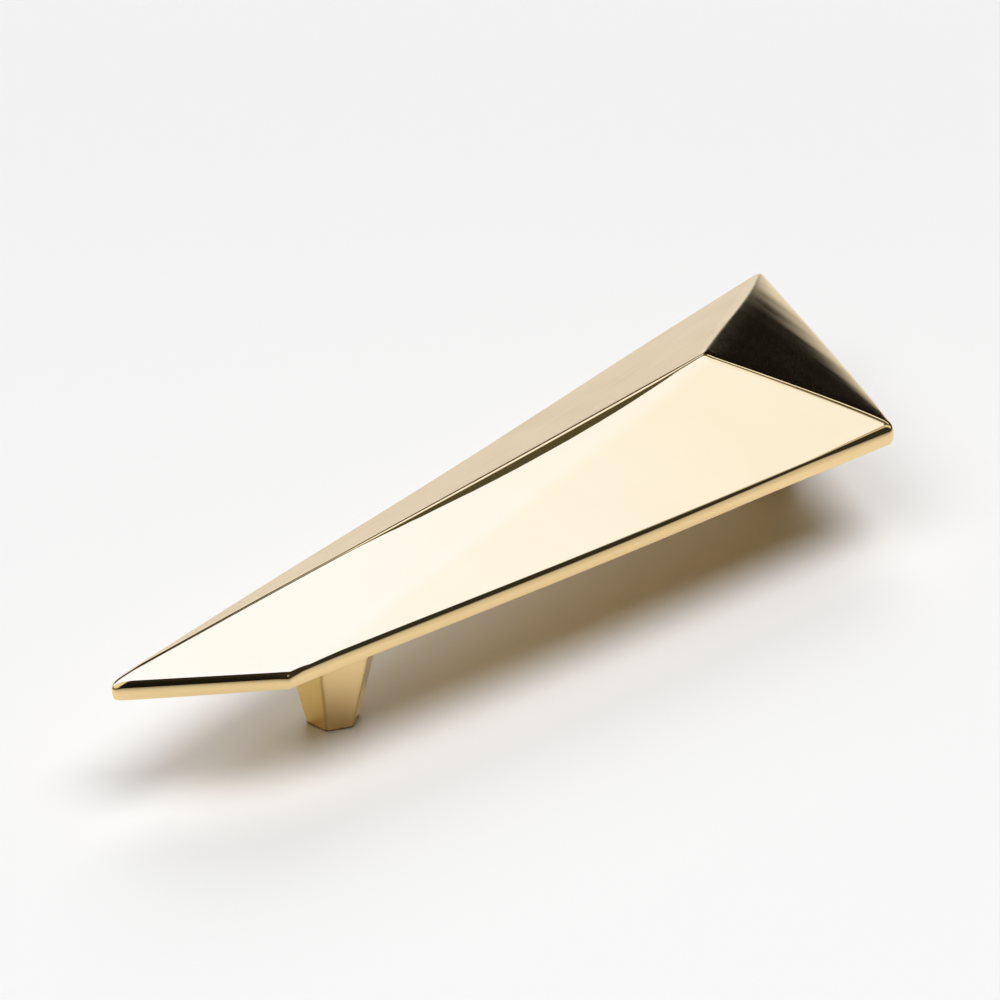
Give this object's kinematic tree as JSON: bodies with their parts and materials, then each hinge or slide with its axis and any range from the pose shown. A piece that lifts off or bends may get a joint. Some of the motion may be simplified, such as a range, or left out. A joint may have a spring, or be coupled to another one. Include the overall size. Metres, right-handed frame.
{
  "type": "cabinet pull",
  "caption": "Solid brass cabinet pull: a faceted bar with an off-centre peak on a thin rim, held off the door by tapered six-sided legs that are tapped for screws.",
  "frame": {"origin": "on the door face, midway between the two screw holes", "axes": "+X along the screw line towards the wide end, +Y towards the long back edge, +Z out of the door"},
  "size_m": [0.2063, 0.0633, 0.0376],
  "materials": {
    "polished_brass": "hand polished to a near mirror, with faint satin haze on the back and end facets"
  },
  "bodies": {
    "root": {"pull_body": "polished_brass"}
  },
  "joints": []
}
